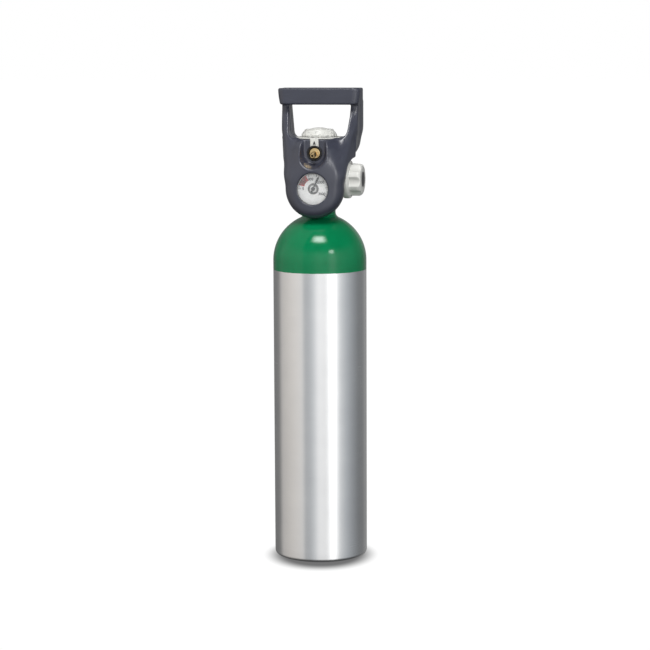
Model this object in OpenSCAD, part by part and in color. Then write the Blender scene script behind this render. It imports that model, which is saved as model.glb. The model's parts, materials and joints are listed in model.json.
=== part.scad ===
// Portable gas cylinder with a combined shut-off valve, pressure regulator and flow selector under a
// carrying cover. +Z is up and the origin is the centre of the foot. The gauge and the hose outlet
// face -Y, the shut-off knob faces +X and the filling port faces +Y.

/* [Tank] */
// Outside diameter of the tank
tank_d = 111.1; // [109:0.1:113]
// Height of the tank up to its neck face
tank_h = 422; // [380:1:460]
// Wall of the straight side
tank_wall = 5.3; // [4.5:0.1:6]
// Radius of the edge between side and foot
foot_edge_r = 7; // [4:0.5:9]

/* [Valve] */
// Height of the gauge above the neck face
gauge_rise = 21.7; // [21.5:0.1:22]
// Height of the shut-off knob above the neck face
knob_rise = 31; // [30.5:0.1:31.5]
// Height of the hose outlet above the neck face
outlet_rise = 62.8; // [62.5:0.1:63]
// Height of the filling port above the neck face
fill_rise = 26; // [25:0.5:27]
// Downward tilt of the hose barb
barb_tilt = 8; // [0:1:10]

/* [Knobs] */
// Radius of the shut-off knob's flange
knob_flange_r = 22.7; // [21:0.1:23.5]
// Number of finger lobes on the shut-off knob
knob_lobes = 7; // [5:1:9]
// Radius of the flow knob at its foot
flow_knob_r = 21; // [20:0.1:21.3]
// Number of flow settings
flow_steps = 12; // [8:1:12]

/* [Cover] */
// Width of the carrying bar
bar_w = 100; // [96:0.5:102]
// Depth of the carrying bar, front to back
bar_depth = 34; // [32:0.5:36]
// Height of the carrying bar
bar_h = 19.5; // [17:0.5:21]
// Height of the bar's underside above the neck face
bar_rise = 118.5; // [116:0.5:124]
// Wall of the moulded cover
cover_wall = 2.8; // [2.4:0.1:3]

/* [Hidden] */
$fn = 96;
gap = 0.05;          // running and assembly clearance on a radius
tank_r = tank_d / 2;
bore_r = tank_r - tank_wall;
dome_z = tank_h - 65.2;
inner_dome_z = dome_z - 3;
floor_z = 17;
heel_r = 14;
dish_r = 115;
dish_depth = 8;
neck_r = 19;
neck_fillet = 7;
thread_r = 9.5;      // neck thread
seat_r = 12.4;       // pocket for the neck seal
seat_depth = 2.4;

column_r = 17;
hex_z = tank_h + 4;
column_z = tank_h + 12;
top_z = tank_h + 73; // joint between valve body and regulator cap
head_r = 24;
head_t = 5;
gauge_z = tank_h + gauge_rise;
knob_z = tank_h + knob_rise;
outlet_z = tank_h + outlet_rise;
fill_z = tank_h + fill_rise;
relief_z = tank_h + 22;

seat_x = 9;          // shut-off seat
valve_bore_r = 8;
spindle_r = 4;
spindle_collar_r = 6;
boss_x = 24;
stroke = 1.9;        // travel of the shut-off plug
knob_x = 29.5;
knob_t = 23.2;
flange_t = 9;
grip_r = 19.4;

piston_r = 11.95;
chamber_r = 12;
piston_z = top_z - 12.5;
spring_floor_z = top_z - 20;
stem_r = 3.95;
nozzle_z = top_z - 26.5;
port_y = -14.3;      // drilling that carries metered gas to the outlet

cap_t = 6.2;
cavity_t = 2.8;
disc_r = 17.8;
knob_base_z = top_z + 8.7;
knob_top = 8.2;
collar_z = top_z + 6.25;
collar_r = 27.8;
tab_z = tank_h + 70;   // foot of the collar's arrow tab
detent_r = 12;

gauge_face = 42.3;   // distance of each gauge plane in front of the axis
lens_r = 18.3;
case_r = 20;
case_front = 39.7;
case_back = 24;
dial_front = 35.6;
pointer_angle = 26;  // clockwise from straight up

cover_front = 43;
cover_half = 40.5;
drum_r = 35;
deck_z = tank_h + 79;
seam_y = 14;
back_y = 27.6;
post_front = 4;
post_in = 38.3;
post_out = 46.4;
side_cut_r = 25.5;
lower_back_y = -22;
rear_low_z = tank_h + 54;
bar_z = tank_h + bar_rise;
scoop_floor = 28;
floor_t = 2.5;
scoop_rim_r = 18.5;
scoop_floor_r = 12.5;
bar_screw_x = 42.3;
deck_screw_x = 40;
outlet_hole_r = 8.9;
deck_hole_r = 26.2;
lug_x = 26;
lug_y = -26;
plate_z = column_z;
plate_t = 2;
groove_r = 15.5;     // groove in the valve column that holds the mounting plate

// Child's +Z turned to +X, to the front (-Y) and to the back (+Y), at height z.
module to_right(z) translate([0, 0, z]) rotate([0, 90, 0]) children();
module to_front(z) translate([0, 0, z]) rotate([90, 0, 0]) children();
module to_back(z) translate([0, 0, z]) rotate([-90, 0, 0]) children();

// Cylinder from one height to another.
module rod(r, z0, z1) translate([0, 0, z0]) cylinder(r = r, h = z1 - z0);
module hex(r, z0, z1) translate([0, 0, z0]) cylinder(r = r, h = z1 - z0, $fn = 6);
module tube(r, hole, z0, z1) difference() {
  rod(r, z0, z1);
  rod(hole, z0 - 1, z1 + 1);
}
module seal_ring(mean_r, section_r, z) translate([0, 0, z])
  rotate_extrude() translate([mean_r, 0]) circle(r = section_r, $fn = 32);

// Round wire wound into a spring, or a tube wound into a Bourdon coil.
module coil(mean_r, wire_r, z0, z1, turns, steps = 14, sides = 6) {
  count = round(turns * steps);
  rise = z1 - z0 - 2 * wire_r;
  points = [for (i = [0:count]) let (a = 360 * i / steps, z = z0 + wire_r + rise * i / count)
    for (j = [0:sides - 1]) let (b = 360 * j / sides, r = mean_r + wire_r * cos(b))
      [r * cos(a), r * sin(a), z + wire_r * sin(b)]];
  walls = [for (i = [0:count - 1]) for (j = [0:sides - 1]) let (k = (j + 1) % sides)
    [i * sides + j, i * sides + k, (i + 1) * sides + k, (i + 1) * sides + j]];
  start = [for (j = [sides - 1:-1:0]) j];
  finish = [for (j = [0:sides - 1]) count * sides + j];
  polyhedron(points, concat(walls, [start, finish]), convexity = 10);
}

// ---- Pressure vessel ----

module tank_outline() {
  difference() {
    square([tank_r, dome_z]);
    translate([tank_r - foot_edge_r, -1]) difference() {
      square([foot_edge_r + 1, foot_edge_r + 1]);
      translate([0, foot_edge_r + 1]) circle(r = foot_edge_r);
    }
  }
  intersection() {
    translate([0, dome_z]) circle(r = tank_r);
    translate([0, dome_z]) square(tank_r + 1);
  }
  translate([0, dome_z]) square([neck_r, tank_h - dome_z]);
  neck_blend();
}

// Concave blend between the dome and the neck.
module neck_blend() {
  x = neck_r + neck_fillet;
  rise = sqrt(pow(tank_r + neck_fillet, 2) - pow(x, 2));
  touch = tank_r / (tank_r + neck_fillet);
  difference() {
    polygon([[neck_r - 1, dome_z + rise * touch - 3], [x * touch, dome_z + rise * touch],
             [x, dome_z + rise], [neck_r - 1, dome_z + rise]]);
    translate([x, dome_z + rise]) circle(r = neck_fillet);
  }
}

module tank_hollow() {
  translate([0, floor_z + heel_r]) square([bore_r, inner_dome_z - floor_z - heel_r]);
  translate([0, floor_z]) square([bore_r - heel_r, heel_r + 1]);
  translate([bore_r - heel_r, floor_z + heel_r]) circle(r = heel_r);
  intersection() {
    translate([0, inner_dome_z]) circle(r = bore_r);
    translate([0, inner_dome_z - 1]) square(bore_r + 2);
  }
  translate([0, inner_dome_z]) square([thread_r, tank_h]);
  translate([0, tank_h - seat_depth]) square([seat_r, seat_depth + 1]);
  translate([0, dish_depth - dish_r]) circle(r = dish_r);
}

// One-piece aluminium shell: straight side, round shoulder, threaded neck and dished foot.
module tank() color("silver") rotate_extrude($fn = 128) difference() {
  tank_outline();
  tank_hollow();
}

module neck_seal() color("black") seal_ring(10.95, 1.15, tank_h - 1.2);

// ---- Valve body ----

module body_outside() {
  rod(thread_r - gap, tank_h - 23, tank_h);
  rod(neck_r - 0.5, tank_h, hex_z);
  hex(neck_r + 0.5, hex_z, column_z);
  rod(column_r, column_z, top_z - head_t);
  rod(head_r, top_z - head_t, top_z);
  to_right(knob_z) rod(13.5, 0, boss_x);
  to_right(relief_z) rod(6.5, -20, 0);
  to_front(gauge_z) rod(7.4, 0, 20);
  to_front(outlet_z) rod(8, 0, 19.5);
  to_back(fill_z) rod(11, 0, 24);
}

// Inlet, gauge, filling and relief drillings, all at tank pressure.
module high_pressure_drillings() {
  rod(2.2, tank_h - 24, knob_z + 2);
  rod(4.05, tank_h - 24, tank_h - 15);
  to_front(gauge_z) rod(1.2, 0, 21);
  to_front(gauge_z) rod(5 + gap, 11, 21);
  to_back(fill_z) rod(2, 0, 25);
  to_back(fill_z) rod(5.5 + gap, 12, 25);
  to_back(fill_z) rod(7.9, 22.2, 25);
  to_right(relief_z) rod(1.2, -21, 0);
  to_right(relief_z) rod(4.5 + gap, -21, -11);
}

module shutoff_chamber() {
  to_right(knob_z) rod(2, 0, seat_x);
  to_right(knob_z) difference() {
    rod(valve_bore_r + gap, seat_x - 1, boss_x + 1);
    rod(3.4, seat_x - 2, seat_x);
  }
  slanted_drilling([seat_x + 3, knob_z + 5], [0, nozzle_z - 3.5], 1.4);
}

// Drilling between two points of the XZ plane, from the shut-off chamber up to the regulator's nozzle.
module slanted_drilling(from, to, r) {
  run = to - from;
  translate([from[0], 0, from[1]]) rotate([0, atan2(run[0], run[1]), 0]) cylinder(r = r, h = norm(run));
}

module regulator_bores() {
  rod(chamber_r + gap, spring_floor_z, top_z + 1);
  rod(stem_r + gap, nozzle_z - 1.5, spring_floor_z + 1);
  rod(5.4, spring_floor_z - 2.4, spring_floor_z - 0.6);
  rod(1, nozzle_z - 4, nozzle_z - 1);
  to_back(spring_floor_z + 4) rod(0.8, 5, column_r + 1);
}

module outlet_drillings() {
  translate([0, port_y, 0]) rod(1.2, outlet_z, top_z + 1);
  to_front(outlet_z) rod(4 + gap, -port_y - 1.2, 20);
  to_front(outlet_z) rod(9, 19.5, 25);
}

module cap_screw_holes(r, z0, z1) for (a = [45:90:315]) rotate(a) translate([20.5, 0, 0]) rod(r, z0, z1);

module valve_body() color("goldenrod") {
  difference() {
    body_outside();
    high_pressure_drillings();
    shutoff_chamber();
    regulator_bores();
    outlet_drillings();
    cap_screw_holes(1.5 + gap, top_z - head_t - 1, top_z + 1);
    tube(column_r + 1, groove_r, plate_z, plate_z + plate_t + 0.1);
  }
  tube(2.2, 0.9, nozzle_z - 1.6, nozzle_z);
}

module inlet_filter() color("darkkhaki") tube(4, 1.5, tank_h - 23, tank_h - 15.2);

// ---- Shut-off valve, along +X ----

module shutoff_bonnet() color("goldenrod") to_right(knob_z) difference() {
  union() {
    rod(valve_bore_r, 17, boss_x);
    hex(12.5, boss_x, boss_x + 4);
  }
  rod(spindle_r + gap, 16, boss_x + 5);
  rod(spindle_collar_r + 0.2, 16, 20.4);
  rod(5.5, 22, 24);
}

// The tongue at the spindle's inner end turns the plug and lets it travel by its stroke.
module shutoff_spindle() color("goldenrod") to_right(knob_z) difference() {
  union() {
    rod(spindle_collar_r, 17.2, 19.4);
    rod(spindle_r, 17.2, 29.3);
    translate([-3, -3, 29.3]) cube([6, 6, 7.7]);
    translate([-3.2, -0.8, 11.7 + stroke]) cube([6.4, 1.6, 5.7 - stroke]);
  }
  rod(1.5, 29, 38);
}

module shutoff_plug() color("goldenrod") to_right(knob_z) difference() {
  union() {
    rod(valve_bore_r - 0.02, 10.6, 15);
    rod(4.2, 9.6, 10.6);
  }
  translate([-3.4, -1, 11.4]) cube([6.8, 2, 4]);
  rod(3.2, 9, 11);
}

module shutoff_seat() color("ivory") to_right(knob_z) rod(3.15, seat_x + 0.1, 10.95);
module thrust_washer() color("ivory") to_right(knob_z) tube(5.9, spindle_r + gap, 19.5, 20.3);
module spindle_seal() color("black") to_right(knob_z) seal_ring(4.75, 0.65, 23);

// Fluted grip with a wide flange against the cover.
module knob_outline() {
  r = 2.5;
  square([knob_flange_r - r, flange_t]);
  translate([0, r]) square([knob_flange_r, flange_t - 2 * r]);
  for (t = [r, flange_t - r]) translate([knob_flange_r - r, t]) circle(r = r, $fn = 48);
  end_r = 5;
  square([grip_r, knob_t - end_r]);
  square([grip_r - end_r, knob_t]);
  translate([grip_r - end_r, knob_t - end_r]) circle(r = end_r, $fn = 48);
}

module shutoff_knob() color("lightgray") translate([knob_x, 0, 0]) to_right(knob_z) difference() {
  rotate_extrude() intersection() {
    knob_outline();
    square([knob_flange_r + 1, knob_t + 1]);
  }
  for (i = [0:knob_lobes - 1]) rotate(6 + 90 + (i + 0.5) * 360 / knob_lobes)
    translate([grip_r + 6.4, 0, flange_t - 0.4]) cylinder(r = 9, h = knob_t);
  difference() {
    rod(19.5, -1, 6.5);
    rod(7, -2, 7);
  }
  translate([-3.05, -3.05, -1]) cube([6.1, 6.1, 9]);
  rod(2, 0, 20);
  rod(4, 12, 24);
  rod(9, knob_t - 1.4, knob_t + 1);
}

module shutoff_knob_screw() color("silver") translate([knob_x, 0, 0]) to_right(knob_z) difference() {
  union() {
    rod(3.7, 12, 14.6);
    rod(1.45, 1, 12);
  }
  hex(1.6, 13, 15);
}

module shutoff_knob_cap() color("dimgray") translate([knob_x, 0, 0]) to_right(knob_z) union() {
  rod(8.8, knob_t - 1.3, knob_t + 0.3);
  rod(3.8, knob_t - 4.3, knob_t - 1.3);
}

// ---- Regulator, along +Z ----

module regulator_piston() color("goldenrod") difference() {
  union() {
    rod(piston_r, piston_z, piston_z + 5.7);
    rod(stem_r, nozzle_z + 0.9, piston_z);
  }
  difference() {
    rod(piston_r + 1, piston_z + 1.8, piston_z + 4);
    rod(10.3, piston_z + 1, piston_z + 5);
  }
  rod(1, nozzle_z + 2.9, piston_z + 7);
  translate([-6, 0, nozzle_z + 3.6]) rotate([0, 90, 0]) cylinder(r = 0.7, h = 12);
  rod(2.45, nozzle_z, nozzle_z + 2.3);
}

module piston_seat() color("ivory") rod(2.4, nozzle_z + 0.5, nozzle_z + 2.25);
module piston_seals() color("black") seal_ring(11.1, 0.78, piston_z + 2.9);
module stem_seal() color("black") seal_ring(4.7, 0.62, spring_floor_z - 1.5);
module piston_spring() color("silver") coil(7.6, 1, spring_floor_z + 0.2, piston_z - 0.2, 3);

module regulator_cap() color("silver") difference() {
  union() {
    rod(head_r, top_z, top_z + cap_t);
    rod(14.5, top_z, top_z + cap_t + 1);
  }
  rod(disc_r + 0.4, top_z - 1, top_z + cavity_t);
  rod(3.5 + gap, top_z, top_z + 8);
  rod(5.1, top_z + 3.8, top_z + 5.6);
  cap_screw_holes(1.6, top_z - 1, top_z + 8);
  cap_screw_holes(2.9, top_z + 3.6, top_z + 8);
  for (s = [-1, 1]) translate([s * detent_r, 0, 0]) rod(1.65, top_z + 3.6, top_z + 8);
}

module cap_screws() color("silver") difference() {
  union() {
    cap_screw_holes(1.5, top_z - 4.6, top_z + 3.7);
    cap_screw_holes(2.7, top_z + 3.65, top_z + 6);
  }
  for (a = [45:90:315]) rotate(a) translate([20.5, 0, 0]) hex(1.4, top_z + 4.6, top_z + 7);
}

module port_seal() color("ivory") translate([0, port_y, 0]) tube(2.5, 1.2, top_z, top_z + 0.3);

// Turning plate with one metering hole for each flow setting and a blank place at "off".
module orifice_disc() color("silver") difference() {
  rod(disc_r, top_z + 0.45, top_z + 2.4);
  rod(3, top_z, top_z + 3);
  for (i = [1:flow_steps - 1]) rotate(-90 - i * 360 / flow_steps)
    translate([-port_y, 0, 0]) rod(0.2 + 0.07 * i, top_z, top_z + 3);
  for (a = [30:60:330]) rotate(a) translate([8, 0, 0]) rod(1.8, top_z, top_z + 3);
}

module flow_spindle() color("goldenrod") difference() {
  union() {
    rod(3 - gap, top_z - 1.2, top_z + 2.4);
    rod(3.5, top_z + 2.4, knob_base_z);
    translate([-2.4, -2.4, knob_base_z]) cube([4.8, 4.8, 4.6]);
  }
  rod(1.1, knob_base_z - 3, knob_base_z + 5);
}

module flow_spindle_seal() color("black") seal_ring(4.3, 0.65, top_z + 4.7);
module detent_balls() color("silver") for (s = [-1, 1])
  translate([s * detent_r, 0, top_z + 7]) sphere(r = 1.5, $fn = 48);
module detent_springs() color("silver") for (s = [-1, 1])
  translate([s * detent_r, 0, 0]) coil(1.1, 0.25, top_z + 3.7, top_z + 5.4, 3, steps = 10, sides = 4);

// Fixed collar round the flow knob, with the index tab that hangs in the cover's notch.
module index_collar() color("gainsboro") union() {
  tube(collar_r, 22, collar_z, collar_z + 1.7);
  tube(25.6, head_r + 0.1, collar_z - 3, collar_z);
  difference() {
    translate([-4.9, -scoop_floor - 0.3, tab_z + 0.2]) cube([9.8, 2.4, 10.4]);
    rod(head_r + 0.1, tab_z, tab_z + 11);
    to_front(outlet_z) rod(outlet_hole_r + 0.2, 20, 30);
  }
}

module flow_knob() color("lightgray") translate([0, 0, knob_base_z]) difference() {
  rotate_extrude() {
    polygon([[0, 0], [flow_knob_r, 0], [flow_knob_r, 2.4], [17.2, 7], [0, 7]]);
    square([15.9, knob_top]);
    translate([15.9, knob_top - 1.6]) circle(r = 1.6, $fn = 32);
  }
  for (i = [0:flow_steps - 1]) rotate((i + 0.5) * 360 / flow_steps)
    translate([flow_knob_r + 4, 0, -1]) cylinder(r = 4.8, h = 12);
  difference() {
    rod(18.8, -1, 5);
    rod(14.5, -2, 6);
  }
  for (i = [0:flow_steps - 1]) rotate(i * 360 / flow_steps)
    translate([detent_r, 0, -1.1]) sphere(r = 1.7, $fn = 48);
  translate([-2.45, -2.45, -1]) cube([4.9, 4.9, 5.8]);
  rod(1.4, 0, 8);
  rod(3.2, 6, 10);
  rod(10.3, knob_top - 1.2, knob_top + 1);
}

module flow_knob_screw() color("silver") translate([0, 0, knob_base_z]) union() {
  rod(2.9, 6, 6.95);
  rod(1.05, -2.4, 6);
}

module flow_knob_crown() color("darkgray") translate([0, 0, knob_base_z]) intersection() {
  rod(10.2, knob_top - 1.15, knob_top + 3);
  translate([0, 0, knob_top + 2 - 34]) sphere(r = 34);
}

// ---- Hose outlet ----

module barb_axis() translate([0, -22, outlet_z]) rotate([90 + barb_tilt, 0, 0]) children();

module hose_barb() color("goldenrod") difference() {
  union() {
    to_front(outlet_z) rod(4, 13.4, 20);
    to_front(outlet_z) rotate_extrude() {
      translate([0, 19.6]) square([7.2, 5]);
      translate([0, 24.6]) square([5.2, 2]);
      translate([5.2, 24.6]) circle(r = 2, $fn = 48);
    }
    barb_axis() {
      rod(2.7, 0, 17.5);
      rod(3.3, 6, 10);
      for (t = [10, 12.2, 14.4]) translate([0, 0, t]) cylinder(r1 = 3.3, r2 = 2.5, h = 2.2);
      translate([0, 0, 16.6]) cylinder(r1 = 3, r2 = 2.3, h = 1.6);
    }
  }
  barb_axis() rod(1.4, -2, 20);
  to_front(outlet_z) rod(1.4, 13, 24);
  to_front(outlet_z) tube(6.5, 4.7, 19, 21.1);
}

module outlet_seal() color("black") to_front(outlet_z) seal_ring(5.6, 0.7, 20.3);

// Rubber ring that closes the gap between the outlet and the cover.
module outlet_grommet() color("black") to_front(outlet_z) tube(outlet_hole_r - 0.1, 7.3, 20.4, scoop_floor + 0.4);

// ---- Contents gauge, facing -Y ----

module gauge_case() color("black") to_front(gauge_z) difference() {
  rod(case_r, case_back, case_front);
  rod(case_r - 0.9, case_back + 1, case_front + 1);
  rod(4.1, case_back - 1, case_back + 2);
}

module gauge_socket() color("goldenrod") to_front(gauge_z) difference() {
  union() {
    rod(5, 11.2, 20);
    hex(7.4, 20, case_back);
    rod(4, case_back, case_back + 3.6);
    translate([0, 0, case_back + 3]) rotate([0, 90, 0]) cylinder(r = 0.9, h = 12);
  }
  rod(1, 10, case_back + 3);
}

module bourdon_tube() color("peru") to_front(gauge_z)
  translate([0, 0, case_back + 1.9]) coil(12, 1.1, 0, 7.6, 2.5, steps = 20);

module gauge_dial() color("white") to_front(gauge_z) tube(18.6, 1.2, dial_front - 0.6, dial_front);

// Pointer, its shaft and the arm that the free end of the Bourdon coil turns.
module gauge_pointer() color("black") to_front(gauge_z) union() {
  rod(0.8, case_back + 6.5, dial_front + 2.6);
  translate([-12.5, -1, case_back + 9.7]) cube([12.5, 2, 0.8]);
  rod(2.3, dial_front + 0.8, dial_front + 2.2);
  rotate(-pointer_angle) translate([0, 0, dial_front + 1.2]) linear_extrude(0.5)
    polygon([[-1, -5], [1, -5], [0.9, 0], [0.35, 14], [-0.35, 14], [-0.9, 0]]);
}

module gauge_lens() color("lightcyan", 0.4) to_front(gauge_z) difference() {
  union() {
    rod(case_r - 1, case_front - 1.4, case_front);
    rod(lens_r, case_front - 1, gauge_face);
  }
  rod(lens_r - 1.4, case_front - 2, gauge_face - 1.4);
}

// ---- Filling port, facing +Y ----

module fill_port() color("goldenrod") to_back(fill_z) difference() {
  union() {
    rod(5.5, 12.2, 24);
    hex(10, 24, 28.6);
    rod(8, 28.6, 41);
  }
  rod(2, 12, 19);
  rod(4.5, 18, 33);
  rod(3.2, 32, 42);
}

module fill_poppet() color("goldenrod") to_back(fill_z) union() {
  rod(4.4, 29.6, 32.4);
  rod(2.7, 32.4, 36);
  rod(1.8, 25.5, 29.6);
}

module fill_spring() color("silver") to_back(fill_z) coil(3.1, 0.5, 18.2, 29.5, 5, steps = 12);
module fill_seal() color("black") to_back(fill_z) seal_ring(6.9, 0.8, 23.15);

module fill_cap() color("dimgray") to_back(fill_z) difference() {
  rod(10.4, 29.2, 44);
  rod(8.1, 28, 41.4);
  for (a = [0:15:345]) rotate(a) translate([10.9, 0, 28]) cylinder(r = 1, h = 17);
}

// ---- Burst-disc relief, facing -X ----

module relief_plug() color("goldenrod") to_right(relief_z) difference() {
  union() {
    rod(4.5, -20, -11.5);
    hex(7.4, -25, -20);
  }
  rod(1.5, -23.5, -11);
  for (a = [30:60:150]) rotate([0, 0, a]) translate([-9, 0, -22.6]) rotate([0, 90, 0]) cylinder(r = 0.9, h = 18);
}

module burst_disc() color("silver") to_right(relief_z) rod(4.4, -11.4, -11.1);

// ---- Carrying cover ----

// Steel fork that slides into the column's groove from the front and carries the cover on two lugs.
module mounting_plate() color("silver") translate([0, 0, plate_z]) difference() {
  union() {
    rod(22, 0, plate_t);
    for (s = [-1, 1]) hull() {
      translate([s * 15, -9, 0]) cylinder(r = 6, h = plate_t, $fn = 32);
      translate([s * lug_x, lug_y, 0]) cylinder(r = 4.2, h = plate_t, $fn = 32);
    }
  }
  rod(groove_r + 0.1, -1, plate_t + 1);
  translate([-groove_r - 0.1, 0, -1]) cube([2 * groove_r + 0.2, 30, plate_t + 2]);
  for (s = [-1, 1]) translate([s * lug_x, lug_y, 0]) rod(1.6, -1, plate_t + 1);
}

module plate_screws() color("silver") for (s = [-1, 1]) translate([s * lug_x, lug_y, plate_z]) union() {
  rod(2.8, -1.8, 0);
  rod(1.5, 0, 9);
}

// Turns a front view (X, Z) into a slice between two depths, and a side view (Y, Z) into a beam along X.
module front_slice(y0, y1) translate([0, y1, 0]) rotate([90, 0, 0]) linear_extrude(y1 - y0) children();
module side_beam() rotate([90, 0, 90]) linear_extrude(160, center = true) children();

// Front view of the chest: a disc round the gauge that widens into the shoulders.
module chest_outline(inset) {
  low = drum_r - inset;
  mid = drum_r + 3 - inset;
  wide = cover_half - inset;
  translate([0, gauge_z]) circle(r = low);
  polygon([[-low, gauge_z], [-mid, gauge_z + 19], [-wide, gauge_z + 46], [-wide, deck_z - inset],
           [wide, deck_z - inset], [wide, gauge_z + 46], [mid, gauge_z + 19], [low, gauge_z]]);
}

// Plan of the chest, with round front corners.
module chest_plan(inset) {
  r = 22 - inset;
  x = cover_half - 22;
  front = cover_front - inset;
  for (s = [-1, 1]) translate([s * x, r - front]) circle(r = r);
  translate([-x, -front]) square([2 * x, front + post_front]);
  translate([inset - cover_half, r - front]) square([2 * (cover_half - inset), front - r + post_front]);
}

// Side view of the chest, with a round edge between front and deck.
module chest_side(inset) {
  r = 14 - inset;
  low = tank_h - 20;
  front = inset - cover_front;
  top = deck_z - inset;
  translate([front, low]) square([post_front - front, top - r - low]);
  translate([front + r, low]) square([post_front - front - r, top - low]);
  translate([front + r, top - r]) circle(r = r);
}

// Side view of what the cover leaves open behind and below the knob.
module chest_opening() {
  low = tank_h - 21;
  translate([0, knob_z]) circle(r = side_cut_r);
  translate([lower_back_y, low]) square([80, knob_z - 13 - low]);
  translate([0, low]) square([80, knob_z - low]);
}

module chest(inset) intersection() {
  front_slice(-60, post_front) chest_outline(inset);
  translate([0, 0, tank_h - 20]) linear_extrude(120) chest_plan(inset);
  side_beam() chest_side(inset);
}

// Front view of the carrying frame: round lower corners and the two posts.
module frame_outline(inset) {
  x = 21.8;
  z = deck_z - 3;
  r = 23 - inset;
  out = post_out - inset;
  for (s = [-1, 1]) translate([s * x, z]) circle(r = r);
  translate([-x, z - r]) square([2 * x, r]);
  polygon([[-x - r, z], [-out, z + 12], [-out, bar_z + 2], [out, bar_z + 2], [out, z + 12], [x + r, z]]);
}

// Hand opening: its sides lean in and meet the deck in round corners.
module hand_opening() {
  r = 8;
  x = post_in - 2.9 - r;
  z = deck_z + r;
  polygon([[-post_in, bar_z + 3], [post_in, bar_z + 3], [x + r, z], [x, deck_z], [-x, deck_z], [-x - r, z]]);
  for (s = [-1, 1]) translate([s * x, z]) circle(r = r);
}

module carrying_frame() {
  front_slice(post_front, back_y) difference() {
    frame_outline(0);
    hand_opening();
  }
  front_slice(0, post_front) intersection() {
    frame_outline(0);
    translate([-60, 0]) square([120, deck_z]);
  }
}

module frame_hollow() front_slice(cover_wall, back_y - cover_wall) intersection() {
  frame_outline(cover_wall);
  translate([-60, 0]) square([120, deck_z - cover_wall]);
}

// Round-cornered block of the carrying bar.
module bar(inset) {
  r = 9 - inset;
  w = bar_w / 2 - inset;
  y0 = back_y - bar_depth + inset;
  y1 = back_y - inset;
  translate([0, 0, bar_z + inset]) linear_extrude(bar_h - 2 * inset) union() {
    translate([-w, y0 + r]) square([2 * w, y1 - y0 - 2 * r]);
    translate([-w + r, y0]) square([2 * (w - r), y1 - y0]);
    for (x = [-w + r, w - r], y = [y0 + r, y1 - r]) translate([x, y]) circle(r = r);
  }
}

// Funnel round the hose barb, open at the top as a U.
module scoop(extra, floor_y, top) {
  rim = scoop_rim_r + extra;
  root = scoop_floor_r + extra;
  grow = (rim - root) / (cover_front - scoop_floor);
  back = root - grow * (scoop_floor - floor_y);
  front = rim + grow;
  to_front(outlet_z) translate([0, 0, floor_y]) cylinder(r1 = back, r2 = front, h = cover_front + 1 - floor_y);
  translate([0, 0, outlet_z]) linear_extrude(top - outlet_z)
    polygon([[-front, -cover_front - 1], [front, -cover_front - 1], [back, -floor_y], [-back, -floor_y]]);
}

module cover_shell() {
  difference() {
    union() {
      chest(0);
      carrying_frame();
      bar(0);
    }
    chest(cover_wall);
    frame_hollow();
    bar(cover_wall);
    rod(column_r + 2, rear_low_z - 5, rear_low_z + 5);
  }
  intersection() {
    chest(0);
    union() {
      scoop(2.6, scoop_floor - floor_t, deck_z);
      for (s = [-1, 1]) translate([s * lug_x - 4.5, -cover_front, plate_z + plate_t]) cube([9, 21, 8]);
    }
  }
  screw_bosses();
}

module screw_bosses() for (s = [-1, 1]) {
  translate([s * bar_screw_x - 4, post_front, bar_z]) cube([8, back_y - post_front - 1, 9]);
  translate([s * deck_screw_x - 4, 1, deck_z - 9]) cube([8, back_y - 2, 8]);
}

module cover_cuts() {
  side_beam() chest_opening();
  scoop(0, scoop_floor, deck_z + 2);
  to_front(gauge_z) rod(lens_r + 0.3, 30, 60);
  to_front(outlet_z) rod(outlet_hole_r, 20, 30);
  translate([-5.2, -29, tab_z]) cube([10.4, 5, 20]);
  rod(deck_hole_r, deck_z - 8, deck_z + 2);
  for (s = [-1, 1]) translate([s * lug_x, lug_y, plate_z]) rod(1.5 + gap, 0, 9.5);
  at_cover_screws() {
    rod(1.5 + gap, seam_y - 9.5, back_y + 1);
    rod(3.1, back_y - 4, back_y + 1);
  }
}

// Child turned to +Y at each of the four screws that join the two covers.
module at_cover_screws() for (s = [-1, 1], spot = [[bar_screw_x, bar_z + 4], [deck_screw_x, deck_z - 5]])
  translate([s * spot[0], 0, spot[1]]) rotate([-90, 0, 0]) children();

module front_cover() color("darkslategray") difference() {
  intersection() {
    cover_shell();
    translate([-80, -80, tank_h - 40]) cube([160, 80 + seam_y, 200]);
  }
  cover_cuts();
}

module rear_cover() color("darkslategray") difference() {
  intersection() {
    cover_shell();
    translate([-80, seam_y, tank_h - 40]) cube([160, 80, 200]);
  }
  cover_cuts();
}

module cover_screws() color("silver") difference() {
  at_cover_screws() {
    rod(1.5, seam_y - 9, back_y - 4);
    rod(2.9, back_y - 4, back_y - 1.6);
  }
  at_cover_screws() hex(1.4, back_y - 3, back_y);
}

tank();
neck_seal();
valve_body();
inlet_filter();
shutoff_bonnet();
shutoff_spindle();
shutoff_plug();
shutoff_seat();
thrust_washer();
spindle_seal();
shutoff_knob();
shutoff_knob_screw();
shutoff_knob_cap();
regulator_piston();
piston_seat();
piston_seals();
stem_seal();
piston_spring();
regulator_cap();
cap_screws();
port_seal();
orifice_disc();
flow_spindle();
flow_spindle_seal();
detent_balls();
detent_springs();
index_collar();
flow_knob();
flow_knob_screw();
flow_knob_crown();
hose_barb();
outlet_seal();
outlet_grommet();
gauge_case();
gauge_socket();
bourdon_tube();
gauge_dial();
gauge_pointer();
gauge_lens();
fill_port();
fill_poppet();
fill_spring();
fill_seal();
fill_cap();
relief_plug();
burst_disc();
mounting_plate();
plate_screws();
front_cover();
rear_cover();
cover_screws();
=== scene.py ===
import json
import math

import bmesh
import bpy
from mathutils import Matrix


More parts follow.
